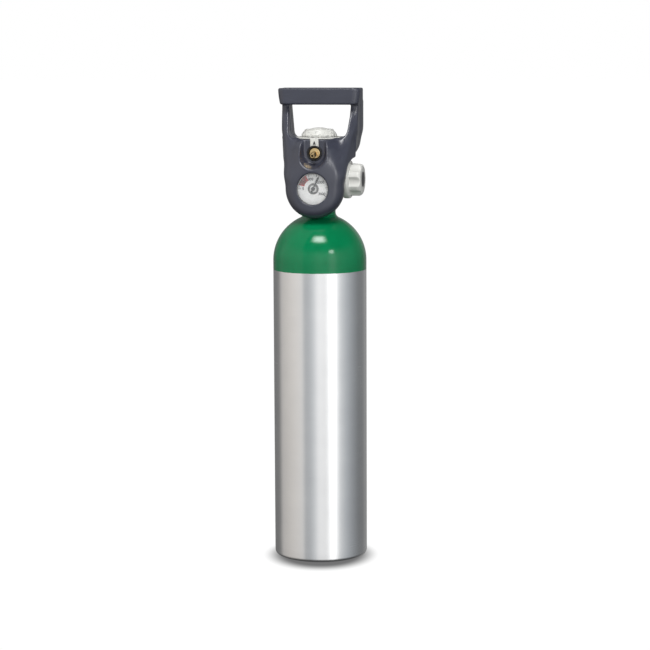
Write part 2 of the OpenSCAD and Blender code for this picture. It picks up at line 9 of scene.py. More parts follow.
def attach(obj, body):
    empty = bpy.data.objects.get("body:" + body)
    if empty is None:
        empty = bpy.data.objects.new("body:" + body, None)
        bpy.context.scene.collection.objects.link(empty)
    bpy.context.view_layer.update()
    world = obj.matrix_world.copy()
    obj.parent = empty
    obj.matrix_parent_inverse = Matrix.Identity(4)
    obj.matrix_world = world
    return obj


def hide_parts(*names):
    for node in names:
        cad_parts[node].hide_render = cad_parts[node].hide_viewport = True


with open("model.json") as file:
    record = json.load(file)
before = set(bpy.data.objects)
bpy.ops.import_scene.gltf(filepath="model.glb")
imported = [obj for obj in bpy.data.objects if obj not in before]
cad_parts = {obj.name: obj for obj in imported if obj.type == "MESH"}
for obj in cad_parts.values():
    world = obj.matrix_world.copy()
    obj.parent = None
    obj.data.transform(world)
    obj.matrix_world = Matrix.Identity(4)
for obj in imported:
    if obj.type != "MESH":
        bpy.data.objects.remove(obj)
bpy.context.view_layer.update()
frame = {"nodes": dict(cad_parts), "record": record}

mm = 0.001
record = frame["record"]
bodyOf = {node: body for body, nodes in record["behaviour"]["bodies"].items() for node in nodes}
slotOf = {row["node"]: row["material_slot"] for row in record["subparts"]}


# An output socket of a node tree. Expressions on it add Math nodes, and node() adds anything else.
class Wire:
    def __init__(self, tree, socket=None):
        self.tree = tree
        self.socket = socket

    def node(self, kind, settings=None, inputs=None, out=0):
        made = self.tree.nodes.new(kind)
        for name, value in (settings or {}).items():
            if name == "stops":
                setStops(made.color_ramp.elements, value)
            else:
                setattr(made, name, value)
        for key, value in (inputs or {}).items():
            if isinstance(value, Wire):
                self.tree.links.new(value.socket, made.inputs[key])
            else:
                made.inputs[key].default_value = value
        return Wire(self.tree, made.outputs[out])

    def pick(self, out):  # another output of the same node
        return Wire(self.tree, self.socket.node.outputs[out])

    def __add__(self, other):
        return maths("ADD", self, other)

    def __radd__(self, other):
        return maths("ADD", other, self)

    def __sub__(self, other):
        return maths("SUBTRACT", self, other)

    def __rsub__(self, other):
        return maths("SUBTRACT", other, self)

    def __mul__(self, other):
        return maths("MULTIPLY", self, other)

    def __rmul__(self, other):
        return maths("MULTIPLY", other, self)

    def __truediv__(self, other):
        return maths("DIVIDE", self, other)

    def __rtruediv__(self, other):
        return maths("DIVIDE", other, self)

    def __neg__(self):
        return maths("MULTIPLY", self, -1)

    def __abs__(self):
        return maths("ABSOLUTE", self)


def maths(operation, *values):
    wire = next(v for v in values if isinstance(v, Wire))
    return wire.node("ShaderNodeMath", {"operation": operation}, dict(enumerate(values)))


def setStops(elements, stops):
    while len(elements) > 1:
        elements.remove(elements[-1])
    for i, (place, colour) in enumerate(stops):
        stop = elements[0] if i == 0 else elements.new(place)
        stop.position = place
        stop.color = tuple(colour) + (1,) if isinstance(colour, (tuple, list)) else (colour,) * 3 + (1,)


def higher(a, b):
    return maths("MAXIMUM", a, b)


def lower(a, b):
    return maths("MINIMUM", a, b)


def clamped(a, low, high):
    return lower(higher(a, low), high)


def root(a):
    return maths("SQRT", a)


def smoothUnion(a, b, width):
    return maths("SMOOTH_MIN", a, b, width)


def smoothBoth(a, b, width):
    return maths("SMOOTH_MAX", a, b, width)


def ramp(a, start, end):  # 0 to 1 between two values, eased at both ends
    t = clamped((a - start) / (end - start), 0, 1)
    return t * t * (3 - 2 * t)


def roundBoth(a, b, radius):  # both distances at once, with a round edge where they meet
    p = higher(a + radius, 0)
    q = higher(b + radius, 0)
    return root(p * p + q * q) - radius + lower(higher(a, b) + radius, 0)


# Every label in sizes becomes a named input of the tree. grow() sets it by its identifier.
def geometryTree(name, sizes):
    tree = bpy.data.node_groups.new(name, "GeometryNodeTree")
    tree.interface.new_socket("Geometry", in_out="INPUT", socket_type="NodeSocketGeometry")
    for label, value in sizes.items():
        kind = "NodeSocketInt" if isinstance(value, int) else "NodeSocketFloat"
        tree.interface.new_socket(label, in_out="INPUT", socket_type=kind)
    tree.interface.new_socket("Geometry", in_out="OUTPUT", socket_type="NodeSocketGeometry")
    start = tree.nodes.new("NodeGroupInput")
    wires = {label: Wire(tree, start.outputs[label]) for label in ["Geometry", *sizes]}
    return tree, wires


def endTree(geometry, material):
    solid = geometry.node("GeometryNodeRealizeInstances", None, {"Geometry": geometry})
    painted = solid.node("GeometryNodeSetMaterial", None, {"Geometry": solid, "Material": material})
    end = geometry.tree.nodes.new("NodeGroupOutput")
    geometry.tree.links.new(painted.socket, end.inputs[0])


def grow(name, tree, sizes, startMesh=None):
    obj = bpy.data.objects.new(name, startMesh or bpy.data.meshes.new(name))
    bpy.context.scene.collection.objects.link(obj)
    modifier = obj.modifiers.new("nodes", "NODES")
    modifier.node_group = tree
    for item in tree.interface.items_tree:
        if item.in_out == "INPUT" and item.name in sizes:
            modifier[item.identifier] = sizes[item.name]
    graph = bpy.context.evaluated_depsgraph_get()
    mesh = bpy.data.meshes.new_from_object(obj.evaluated_get(graph))
    obj.modifiers.clear()
    obj.data = mesh
    mesh.name = name
    return obj


def tidyMesh(obj, sharpAngle=35, weld=0.002 * mm, outward=True):
    bm = bmesh.new()
    bm.from_mesh(obj.data)
    bmesh.ops.remove_doubles(bm, verts=bm.verts, dist=weld)
    bmesh.ops.dissolve_degenerate(bm, edges=bm.edges, dist=weld)
    if outward:
        bmesh.ops.recalc_face_normals(bm, faces=bm.faces)
    for face in bm.faces:
        face.smooth = True
    bm.to_mesh(obj.data)
    bm.free()
    obj.data.set_sharp_from_angle(angle=math.radians(sharpAngle))


def hang(obj, body, slot, *nodes):
    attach(obj, body)
    if nodes:
        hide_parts(*nodes)
    return obj


# build gives the shader's values: plain ones go on its sockets, and wires are linked to them.
def surface(name, build):
    material = bpy.data.materials.new(name)
    material.use_nodes = True
    tree = material.node_tree
    shader = tree.nodes["Principled BSDF"]
    start = Wire(tree)
    place = start.node("ShaderNodeTexCoord", None, None, "Object")
    for key, value in build(start, place).items():
        if isinstance(value, Wire):
            tree.links.new(value.socket, shader.inputs[key])
        else:
            shader.inputs[key].default_value = value
    return material


def colour(rgb):
    return tuple(rgb) + (1,)


def stretched(place, scale):
    return place.node("ShaderNodeMapping", None, {"Vector": place, "Scale": scale})


def noise(place, size, detail=2.0, rough=0.5):  # size of the pattern in millimetres
    return place.node("ShaderNodeTexNoise", None,
                      {"Vector": place, "Scale": 1 / (size * mm), "Detail": detail, "Roughness": rough})


def mixed(factor, a, b):  # of two colours
    def value(c):
        return c if isinstance(c, Wire) else colour(c)
    return factor.node("ShaderNodeMix", {"data_type": "RGBA"}, {0: factor, 6: value(a), 7: value(b)}, 2)


def bumped(height, depth, strength=1.0):  # depth in millimetres
    return height.node("ShaderNodeBump", None,
                       {"Height": height, "Distance": depth * mm, "Strength": strength})


def grooves(place, axis, pitch):  # fine turning marks round one axis of the object
    scale = [22.0, 22.0, 22.0]  # slow along the marks
    scale[axis] = 1 / (pitch * mm)
    narrow = stretched(place, scale)
    return narrow.node("ShaderNodeTexNoise", None, {"Vector": narrow, "Scale": 1.0, "Detail": 3.0})


def edgeWear(start, low, high):  # 1 on convex edges
    bend = start.node("ShaderNodeNewGeometry", None, None, "Pointiness")
    return ramp(bend, low, high)


tankLook = {
    "metal": (0.80, 0.805, 0.81), "metalDull": (0.755, 0.76, 0.768), "speck": (0.45, 0.45, 0.46),
    "enamel": (0.0010, 0.176, 0.064), "enamelDeep": (0.0009, 0.160, 0.057),
    "enamelFrom": 346.0,  # height of the paint line in millimetres
    "metalRoughness": 0.25, "enamelRoughness": 0.13, "enamelCoat": 0.3,
    "fineMarks": 0.35, "broadMarks": 3.0, "cloudSize": 38, "speckSize": 0.9, "peelSize": 2.4,
}


def tankSurface(start, place):
    look = tankLook
    height = place.node("ShaderNodeSeparateXYZ", None, {"Vector": place}, "Z") / mm
    edge = look["enamelFrom"] + noise(place, 9, 3) * 0.7 - 0.35
    enamel = ramp(height, edge - 0.12, edge + 0.12)
    lines = grooves(place, 2, look["fineMarks"])
    broad = grooves(place, 2, look["broadMarks"])
    cloud = noise(place, look["cloudSize"], 3)
    metal = mixed(ramp(lines * 0.4 + cloud * 0.6, 0.32, 0.68), look["metalDull"], look["metal"])
    paint = mixed(ramp(cloud, 0.4, 0.62), look["enamelDeep"], look["enamel"])
    specks = ramp(noise(place, look["speckSize"], 4, 0.7), 0.70, 0.76)
    metal = mixed(specks * 0.25, metal, look["speck"])
    peel = noise(place, look["peelSize"], 1)
    relief = (1 - enamel) * (lines * 0.5 + broad * 0.5) + enamel * (peel * 0.35 + 1.2)
    metalRough = look["metalRoughness"] + (lines - 0.5) * 0.06 + (cloud - 0.5) * 0.08
    enamelRough = look["enamelRoughness"] + (peel - 0.5) * 0.05
    return {
        "Base Color": mixed(enamel, metal, paint),
        "Metallic": 1 - enamel,
        "Roughness": metalRough * (1 - enamel) + enamel * enamelRough,
        "Coat Weight": enamel * look["enamelCoat"],
        "Coat Roughness": 0.05,
        "Specular IOR Level": 0.15,
        "Anisotropic": 0.55,
        "Anisotropic Rotation": 0.25,
        "Normal": bumped(relief, 0.03, 0.35),
    }


# grain is the size of the moulded texture and depth its height, both in millimetres.
def plastic(tone, light, roughness, grain, depth, wear=0.25, coat=0.0, coatRoughness=0.1):
    def build(start, place):
        cloud = noise(place, 26, 3)
        fine = noise(place, grain, 2, 0.6)
        worn = edgeWear(start, 0.52, 0.60) * (0.4 + 0.6 * noise(place, 4, 3))
        base = mixed(ramp(cloud, 0.3, 0.7), tone, [c * 1.12 for c in tone])
        dust = ramp(noise(place, 1.3, 4, 0.65), 0.66, 0.74)
        return {
            "Base Color": mixed(dust * 0.10, mixed(worn * wear, base, light), light),
            "Roughness": roughness + (fine - 0.5) * 0.12 + (cloud - 0.5) * 0.08 - worn * 0.06,
            "Coat Weight": coat,
            "Coat Roughness": coatRoughness,
            "Specular IOR Level": 0.5,
            "Normal": bumped(fine, depth, 0.55),
        }
    return build


# pitch is the distance of the turning marks in millimetres.
def turnedMetal(tone, dull, roughness, pitch, tarnish=0.35):
    def build(start, place):
        lines = grooves(place, 2, pitch)
        cloud = noise(place, 7, 4, 0.6)
        stain = ramp(cloud, 0.45, 0.72)
        worn = edgeWear(start, 0.52, 0.60)
        body = mixed(ramp(lines, 0.3, 0.7), dull, tone)
        return {
            "Base Color": mixed(stain * tarnish * (1 - worn), body, [c * 0.62 for c in dull]),
            "Metallic": 1.0,
            "Roughness": roughness + stain * 0.14 + (lines - 0.5) * 0.10,
            "Normal": bumped(lines, 0.02, 0.5),
        }
    return build


def rubberSurface(start, place):
    fine = noise(place, 0.5, 3, 0.7)
    bloom = ramp(noise(place, 6, 3), 0.4, 0.75)
    return {
        "Base Color": mixed(bloom * 0.4, (0.012, 0.012, 0.013), (0.035, 0.035, 0.038)),
        "Roughness": 0.62 + (fine - 0.5) * 0.2,
        "Normal": bumped(fine, 0.05, 0.5),
    }


def cardSurface(tone, spread):  # printed dial card and its inks
    def build(start, place):
        fibre = noise(place, 0.25, 2)
        cloud = noise(place, 5, 3)
        return {
            "Base Color": mixed(ramp(cloud, 0.3, 0.7), tone, [c * (1 - spread) for c in tone]),
            "Roughness": 0.42 + (fibre - 0.5) * 0.12,
            "Normal": bumped(fibre, 0.01, 0.3),
        }
    return build


def lensSurface(start, place):
    rim = start.node("ShaderNodeLayerWeight", None, {"Blend": 0.35}, "Facing")
    smear = noise(place, 3, 4, 0.6)
    return {
        "Base Color": mixed(smear, (0.86, 0.90, 0.92), (0.95, 0.96, 0.96)),
        "Roughness": 0.06 + ramp(smear, 0.45, 0.7) * 0.08,
        # Painted sheen: the lens grows more opaque towards its grazing edge, so its pale colour shows there beside the
        # coat's real reflection.
        "Alpha": 0.10 + rim * rim * 0.45,
        "Coat Weight": 1.0,
        "Coat Roughness": 0.03,
        "Normal": bumped(noise(place, 6, 1), 0.02, 0.2),
    }


def sinteredSurface(start, place):
    cells = place.node("ShaderNodeTexVoronoi", None, {"Vector": place, "Scale": 1 / (0.35 * mm)}, "Distance")
    return {
        "Base Color": mixed(ramp(cells, 0.1, 0.6), (0.42, 0.29, 0.13), (0.62, 0.45, 0.22)),
        "Metallic": 1.0,
        "Roughness": 0.45 + cells * 0.2,
        "Normal": bumped(1 - cells, 0.1, 0.8),
    }


looks = {
    "aluminium": surface("turnedAluminium", turnedMetal(
        (0.74, 0.745, 0.75), (0.60, 0.605, 0.61), roughness=0.26, pitch=0.25, tarnish=0.15)),
    "cover_plastic": surface("slateCoverPlastic", plastic(
        (0.036, 0.039, 0.057), (0.12, 0.125, 0.145), roughness=0.33, grain=0.55, depth=0.03,
        coat=0.2, coatRoughness=0.2)),
    "knob_plastic": surface("greyKnobPlastic", plastic(
        (0.58, 0.58, 0.55), (0.70, 0.70, 0.67), roughness=0.38, grain=0.7, depth=0.04, wear=0.3)),
    "dark_plastic": surface("blackPlastic", plastic(
        (0.020, 0.020, 0.023), (0.10, 0.10, 0.11), roughness=0.42, grain=0.6, depth=0.05)),
    "brass": surface("turnedBrass", turnedMetal(
        (0.83, 0.63, 0.33), (0.68, 0.49, 0.24), roughness=0.20, pitch=0.25)),
    "steel": surface("turnedSteel", turnedMetal(
        (0.62, 0.62, 0.63), (0.48, 0.48, 0.50), roughness=0.28, pitch=0.22, tarnish=0.2)),
    "spring_steel": surface("springSteel", turnedMetal(
        (0.70, 0.70, 0.72), (0.55, 0.55, 0.57), roughness=0.22, pitch=0.3, tarnish=0.1)),
    "rubber": surface("blackRubber", rubberSurface),
    "seat_plastic": surface("ivorySeatPlastic", plastic(
        (0.72, 0.69, 0.60), (0.80, 0.78, 0.70), roughness=0.35, grain=0.6, depth=0.02)),
    "dial": surface("dialCard", cardSurface((0.86, 0.86, 0.85), 0.06)),
    "pointer": surface("pointerPaint", cardSurface((0.012, 0.012, 0.014), 0.3)),
    "lens": surface("clearLens", lensSurface),
    "filter_bronze": surface("sinteredBronze", sinteredSurface),
    "copper": surface("drawnCopper", turnedMetal(
        (0.80, 0.42, 0.26), (0.60, 0.30, 0.17), roughness=0.28, pitch=0.3)),
}
extraLooks = {
    "tank": surface("tankAluminium", tankSurface),
    "dialRed": surface("dialRedInk", cardSurface((0.74, 0.030, 0.025), 0.12)),
    "dialGrey": surface("dialGreyRingTone", cardSurface((0.40, 0.40, 0.39), 0.12)),
    "dialBlack": surface("dialBlackInk", cardSurface((0.03, 0.03, 0.032), 0.25)),
    "numberGrey": surface("numberInk", cardSurface((0.16, 0.16, 0.165), 0.2)),
}
print("materials ready:", len(looks) + len(extraLooks))


# Profiles for the lathe are lists of (radius, height) in millimetres.
def arc(cx, cz, radius, start, end, steps):
    angles = [math.radians(start + (end - start) * i / steps) for i in range(steps + 1)]
    return [(cx + radius * math.cos(a), cz + radius * math.sin(a)) for a in angles]


def line(a, b, steps):
    return [(a[0] + (b[0] - a[0]) * i / steps, a[1] + (b[1] - a[1]) * i / steps) for i in range(1, steps)]


def profileMesh(name, points):
    mesh = bpy.data.meshes.new(name)
    verts = [(r * mm, 0, z * mm) for r, z in points]
    mesh.from_pydata(verts, [(i, i + 1) for i in range(len(verts) - 1)], [])
    return mesh


# Turns a profile round Z. Flutes are cylinders parallel to the axis, cut into what stands above one height.
def latheTree(name, material):
    sizes = {"Segments": 96, "Flutes": 0, "Flute centre": 0.0, "Flute radius": 0.0, "Flute turn": 0.0,
             "Flute from": 0.0, "Flute edge": 0.0}
    tree, w = geometryTree(name, sizes)
    profile = w["Geometry"]
    rows = profile.node("GeometryNodeAttributeDomainSize", None, {"Geometry": profile}, "Point Count")
    grid = profile.node("GeometryNodeMeshGrid", None,
                        {"Vertices X": w["Segments"] + 1, "Vertices Y": rows})
    index = profile.node("GeometryNodeInputIndex")
    row = maths("FLOORED_MODULO", index, rows)
    turn = maths("FLOOR", index / rows + 0.0001) / w["Segments"] * math.tau  # a little added against rounding
    spot = profile.node("GeometryNodeSampleIndex", {"data_type": "FLOAT_VECTOR", "domain": "POINT"},
                        {"Geometry": profile, "Value": profile.node("GeometryNodeInputPosition"), "Index": row})
    split = spot.node("ShaderNodeSeparateXYZ", None, {"Vector": spot})
    radius, height = split.pick("X"), split.pick("Z")
    pitch = math.tau / higher(w["Flutes"], 1)
    local = maths("PINGPONG", turn - w["Flute turn"], pitch / 2)
    across = w["Flute centre"] * maths("SINE", local)
    inside = w["Flute radius"] * w["Flute radius"] - across * across
    wall = w["Flute centre"] * maths("COSINE", local) - root(higher(inside, 0))
    wall = wall + clamped(-inside * 1e6, 0, 1)  # a metre away where the cylinder doesn't reach
    cut = smoothUnion(radius, wall, w["Flute edge"])
    fade = 1.2 * mm
    share = ramp(height, w["Flute from"], w["Flute from"] + fade) * clamped(w["Flutes"], 0, 1)
    radius = radius + (lower(cut, radius) - radius) * share
    place = radius.node("ShaderNodeCombineXYZ", None,
                        {"X": radius * maths("COSINE", turn), "Y": radius * maths("SINE", turn), "Z": height})
    moved = grid.node("GeometryNodeSetPosition", None, {"Geometry": grid, "Position": place})
    welded = moved.node("GeometryNodeMergeByDistance", None, {"Geometry": moved, "Distance": 0.001 * mm})
    endTree(welded, material)
    return tree


def lathe(name, points, material, segments, placing=None, sharpAngle=38, **flutes):
    sizes = {"Segments": segments, **flutes}
    obj = grow(name, latheTree(name + "Tree", material), sizes, profileMesh(name + "Profile", points))
    tidyMesh(obj, sharpAngle)
    if placing:
        obj.data.transform(placing)
    return obj


tankSizes = {
    "radius": 55.55, "height": 422.0, "domeStart": 356.8, "footEdge": 4.5,
    "dishRadius": 115.0, "dishDepth": 8.0, "heelRadius": 1.0, "neckRadius": 19.0, "neckFillet": 7.0,
    "neckEdge": 0.6, "sealRadius": 12.4, "sealDepth": 2.4, "boreRadius": 9.5, "boreDepth": 24,
}


def makeTank():
    s = tankSizes
    r, dome, fillet, neck = s["radius"], s["domeStart"], s["neckFillet"], s["neckRadius"]
    foot, heelR, top, edge = s["footEdge"], s["heelRadius"], s["height"], s["neckEdge"]
    seal, bore, sealFloor, boreFloor = s["sealRadius"], s["boreRadius"], top - s["sealDepth"], top - s["boreDepth"]
    dishCentre = s["dishDepth"] - s["dishRadius"]
    dishHalf = math.degrees(math.asin(math.sqrt(s["dishRadius"] ** 2 - dishCentre ** 2) / s["dishRadius"]))
    rise = math.sqrt((r + fillet) ** 2 - (neck + fillet) ** 2)
    meet = math.degrees(math.atan2(rise, neck + fillet))
    points = arc(0, dishCentre, s["dishRadius"], 90, 90 - dishHalf + 0.4, 16)
    heel = points[-1][0]
    points += arc(heel + 1.3, heelR, heelR, 150, 270, 5)
    points += arc(r - foot, foot, foot, -90, 0, 14)
    points += line((r, foot), (r, dome), 40)
    points += arc(0, dome, r, 0, meet, 44)
    points += arc(neck + fillet, dome + rise, fillet, 180 + meet, 180, 10)[1:]
    points += [(neck, top - edge), (neck - edge, top), (seal, top), (seal, sealFloor), (bore, sealFloor),
               (bore, boreFloor), (0, boreFloor)]
    tank = lathe("tankShell", points, extraLooks["tank"], 256)
    return hang(tank, "root", "aluminium", "tank")


makeTank()
print("tank turned")

shutoffKnob = {
    "base": 29.5, "height": 453.0, "flangeRadius": 22.65, "flange": 9.0, "gripRadius": 19.4,
    "thickness": 23.2, "lobes": 7, "scallopCentre": 25.8, "scallopRadius": 9.0, "scallopEdge": 1.6,
    "scallopTurn": 96, "hubRadius": 7.0, "hollowRadius": 19.5, "hollowDepth": 6.5, "flangeEdge": 2.5,
    "gripFillet": 0.7, "gripEdge": 5, "wellRadius": 9.0, "wellDepth": 1.4, "capRadius": 8.75, "capEdge": 0.4,
}


def makeShutoffKnob():
    s = shutoffKnob
    flangeR, flange, edge, grip = s["flangeRadius"], s["flange"], s["flangeEdge"], s["gripRadius"]
    hub, hollow, roof, fillet = s["hubRadius"], s["hollowRadius"], s["hollowDepth"], s["gripFillet"]
    thick, end, well, floor = s["thickness"], s["gripEdge"], s["wellRadius"], s["thickness"] - s["wellDepth"]
    points = [(0, 0), (hub - 0.3, 0), (hub, 0.3), (hub, roof - 0.1), (hub + 0.3, roof)]
    points += [(hollow - 0.3, roof), (hollow, roof - 0.3), (hollow, 0.3), (hollow + 0.3, 0)]
    points += arc(flangeR - edge, edge, edge, -90, 0, 8)
    points += line((flangeR, edge), (flangeR, flange - edge), 3)
    points += arc(flangeR - edge, flange - edge, edge, 0, 90, 8)
    points += arc(grip + fillet, flange + fillet, fillet, -90, -180, 4)
    points += line((grip, flange + fillet), (grip, thick - end), 14)
    points += arc(grip - end, thick - end, end, 0, 90, 14)
    points += line((grip - end, thick), (well + 0.3, thick), 4)
    points += [(well + 0.3, thick), (well + 0.05, thick - 0.25), (well, floor + 0.1), (well - 0.1, floor), (0, floor)]
    turned = Matrix.Translation((s["base"] * mm, 0, s["height"] * mm)) @ Matrix.Rotation(math.pi / 2, 4, "Y")
    pitch = math.tau / s["lobes"]
    knob = lathe("shutoffKnobGrip", points, looks["knob_plastic"], 36 * s["lobes"], turned, 50,
                 **{"Flutes": s["lobes"], "Flute centre": s["scallopCentre"] * mm,
                    "Flute radius": s["scallopRadius"] * mm, "Flute edge": s["scallopEdge"] * mm,
                    "Flute turn": math.radians(s["scallopTurn"]) + pitch / 2,
                    "Flute from": (flange - 0.4) * mm})
    hang(knob, "shutoff_spindle", "knob_plastic", "shutoff_knob")
    r, rim = s["capRadius"], s["capEdge"]
    cap = [(0, floor + 0.1), (r, floor + 0.1), (r, thick - 0.2)] + arc(r - rim, thick - 0.2, rim, 0, 70, 4)
    cap += [(r * f, thick + 0.17 + 0.13 * (1 - f * f)) for f in (0.9, 0.75, 0.6, 0.45, 0.3, 0.15, 0)]
    disc = lathe("shutoffKnobDisc", cap, looks["dark_plastic"], 72, turned)
    hang(disc, "shutoff_spindle", "dark_plastic", "shutoff_knob_cap")


makeShutoffKnob()

flowKnob = {
    "base": 503.7, "skirt": 21.0, "skirtTop": 2.4, "shoulder": 17.2, "shoulderAt": 7.0, "top": 8.2,
    "flutes": 12, "fluteCentre": 25.0, "fluteRadius": 4.8, "fluteEdge": 0.5, "hollowRadius": 14.5, "hollowDepth": 5,
    "shoulderEdge": 1.6, "wellRadius": 10.3, "wellDepth": 1.2, "crownRadius": 10.15, "crownSphere": 34.0,
    "numbers": "0 1 2 3 4 5 6 8 10 15 20 25", "numberSize": 3.0, "numberDepth": 0.12, "numberSpot": (19.05, 4.75),
}


def makeFlowKnob():
    s = flowKnob
    lift = Matrix.Translation((0, 0, s["base"] * mm))
    skirt, shoulder, top, hollow, roof = s["skirt"], s["shoulder"], s["top"], s["hollowRadius"], s["hollowDepth"]
    curve, well, floor = s["shoulderEdge"], s["wellRadius"], s["top"] - s["wellDepth"]
    points = [(0, 0), (hollow - 0.3, 0), (hollow, 0.3), (hollow, roof), (18.6, roof), (18.8, -0.15), (19.1, -0.45)]
    points += arc(skirt - 0.5, 0.05, 0.5, -90, 0, 4) + arc(skirt - 0.8, s["skirtTop"] - 0.55, 0.8, 0, 50, 4)
    points += line(points[-1], (shoulder + 0.9, 6.1), 8)
    points += arc(15.7, top - curve, curve, 0, 90, 8)
    points += line((15.7, top), (well + 0.3, top), 5)
    points += [(well + 0.3, top), (well + 0.05, top - 0.25), (well, floor + 0.1), (well - 0.1, floor), (0, floor)]
    knob = lathe("flowKnobBody", points, looks["knob_plastic"], 24 * s["flutes"], lift, 50,
                 **{"Flutes": s["flutes"], "Flute centre": s["fluteCentre"] * mm,
                    "Flute radius": s["fluteRadius"] * mm, "Flute edge": s["fluteEdge"] * mm,
                    "Flute turn": math.pi / s["flutes"], "Flute from": -3 * mm})
    hang(knob, "flow_knob", "knob_plastic", "flow_knob")
    r, sphere, edge = s["crownRadius"], s["crownSphere"], 0.35
    centre = top + 2 - sphere
    crown = [(0, floor + 0.05), (r, floor + 0.05), (r, centre + math.sqrt(sphere ** 2 - r * r) - edge)]
    crown += arc(0, centre, sphere, 90 - math.degrees(math.asin((r - edge) / sphere)), 90, 12)
    cap = lathe("flowKnobCrown", crown, looks["knob_plastic"], 96, lift, 50)
    hang(cap, "flow_knob", "knob_plastic", "flow_knob_crown")


makeFlowKnob()

# Millimetres, and degrees clockwise from straight up.
gauge = {
    "height": 443.7, "dialFront": 35.6, "lensRadius": 18.2, "lensFlange": 18.9, "lensWall": 1.4, "lensBase": 38.8,
    "lensEdge": 41.5, "lensTop": 42.25, "scaleStart": -90.0, "scaleEnd": 120.0, "restAngle": 26.0,
    "numbers": "0 1000 2000 3000", "numberSize": 4.3, "numberBolder": 0.12, "numberRadius": 11.9,
    "majorTicks": 7, "minorTicks": 31, "tickRadius": 17.4, "redFrom": -76.0, "redTo": -30.0,
    "redRadii": (11.0, 18.0), "hubRadii": (3.9, 6.6), "arcRadii": (17.4, 17.7), "bladeLift": 1.2, "bladeDepth": 0.5,
    "blade": [(-0.5, 6.5), (-1.35, 9.0), (-1.15, 13.5), (0, 16.3), (1.15, 13.5), (1.35, 9.0), (0.5, 6.5)],
}
facing = Matrix.Translation((0, 0, gauge["height"] * mm)) @ Matrix.Rotation(math.pi / 2, 4, "X")


def makeLens():
    s = gauge
    r, edge, top, base, flange = s["lensRadius"], s["lensEdge"], s["lensTop"], s["lensBase"], s["lensFlange"]
    bore = r - s["lensWall"]
    outer = [(flange, base + 0.7), (r, base + 0.8), (r, edge - 0.5)]
    outer += arc(r - 0.5, edge - 0.5, 0.5, 0, 80, 5)
    outer += [(f * (r - 0.5), edge + (top - edge) * (1 - f * f)) for f in [1 - i / 16 for i in range(1, 17)]]
    inner = [(f * bore, edge - 1.3 + (top - edge) * (1 - f * f)) for f in [i / 12 for i in range(13)]]
    inner += [(bore, base - 0.4), (flange, base - 0.4)]
    obj = lathe("gaugeLensDome", inner + outer, looks["lens"], 96, facing, 40)
    return hang(obj, "root", "lens", "gauge_lens")


makeLens()
print("knobs and lens turned")


# Sizes of the moulded cover in millimetres. Its heights are above the neck face.
coverSizes = {
    "Neck face": 422.0, "Gauge height": 21.7, "Chest radius": 35.0, "Chest front": 43.0, "Deck height": 79.0,
    "Wall": 2.8, "Frame width": 44.8, "Post width": 46.4, "Opening width": 35.4, "Bar half width": 50.0,
    "Bar height": 128.25, "Bar half height": 9.75, "Bar depth": 34.0, "Scoop height": 62.8,
    "Scoop radius": 12.5, "Gauge hole": 18.6, "Outlet hole": 8.9, "Deck hole": 26.2, "Seam": 14.0,
}
# Radii of the cover's edges, and widths over which its parts flow into each other.
coverRounds = {
    "chest": 11, "chestAbove": 9, "deck": 12, "frameFoot": 23, "opening": 8, "frame": 3.2, "shoulders": 3,
    "web": 9, "webOpening": 10, "webFoot": 12, "webBlend": 10, "frameBlend": 7, "barPlan": 9, "bar": 2.2,
    "barBlend": 3, "inside": 0.8, "scoopBowl": 3, "scoop": 1.7, "rim": 0.9, "window": 1.3, "holes": 0.6, "seam": 0.45,
}
# Where its screws stand: X and Y for the plate's, X and Z for the two pairs that join the halves.
coverScrews = {"plate": (26, -26), "low": (40, 74), "high": (42.3, 122.5)}


def away(a, b):  # distance from the line where both are 0
    return root(a * a + b * b)


